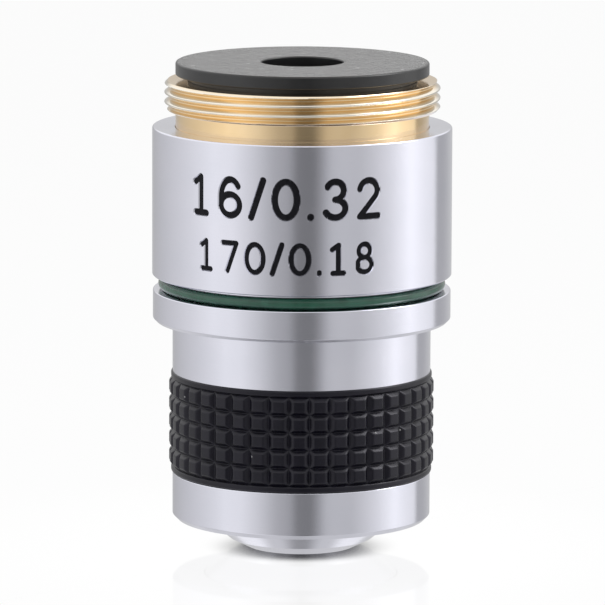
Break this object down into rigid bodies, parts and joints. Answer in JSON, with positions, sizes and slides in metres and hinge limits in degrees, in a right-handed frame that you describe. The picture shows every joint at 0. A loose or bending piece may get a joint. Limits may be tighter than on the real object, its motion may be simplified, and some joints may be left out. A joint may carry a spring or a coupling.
{
  "type": "microscope objective",
  "caption": "Sprung microscope objective: threaded brass mount, engraved barrel with a colour band, sliding nose with a rubber grip and a stack of lenses.",
  "frame": {"origin": "centre of the flat front face of the nose, on the optical axis", "axes": "+Z along the optical axis, from the specimen towards the microscope's tube; the engraved numbers face -Y"},
  "size_m": [0.022, 0.022, 0.036],
  "materials": {
    "nickel_plate": "satin nickel plate over turned brass",
    "brass": "bright turned brass",
    "black_plastic": "matte moulded",
    "green_enamel": "glossy",
    "spring_steel": "drawn wire",
    "black_rubber": "moulded, satin",
    "black_brass": "matte black on turned brass",
    "optical_glass": "polished"
  },
  "bodies": {
    "barrel": {"outer_barrel": "nickel_plate", "thread_mount": "brass", "rear_stop": "black_plastic", "retaining_ring": "nickel_plate", "colour_band": "green_enamel", "return_spring": "spring_steel"},
    "nose": {"sleeve": "nickel_plate", "guide_pin": "spring_steel", "grip": "black_rubber", "front_cap": "nickel_plate", "nose_cone": "nickel_plate", "front_lens": "optical_glass", "front_lens_ring": "black_brass", "lens_barrel": "black_brass", "parfocal_shim": "brass", "middle_cell": "black_brass", "middle_flint": "optical_glass", "middle_crown": "optical_glass", "spacer_tube": "black_brass", "rear_cell": "black_brass", "rear_flint": "optical_glass", "rear_crown": "optical_glass", "locking_ring": "black_brass"}
  },
  "joints": [
    {"name": "nose_slide", "type": "slide", "parent": "barrel", "child": "nose", "axis": [0, 0, 1], "range_m": [0, 0.003], "stiffness_N_per_m": 600, "springref_m": -0.004, "deforming": ["return_spring"]}
  ]
}
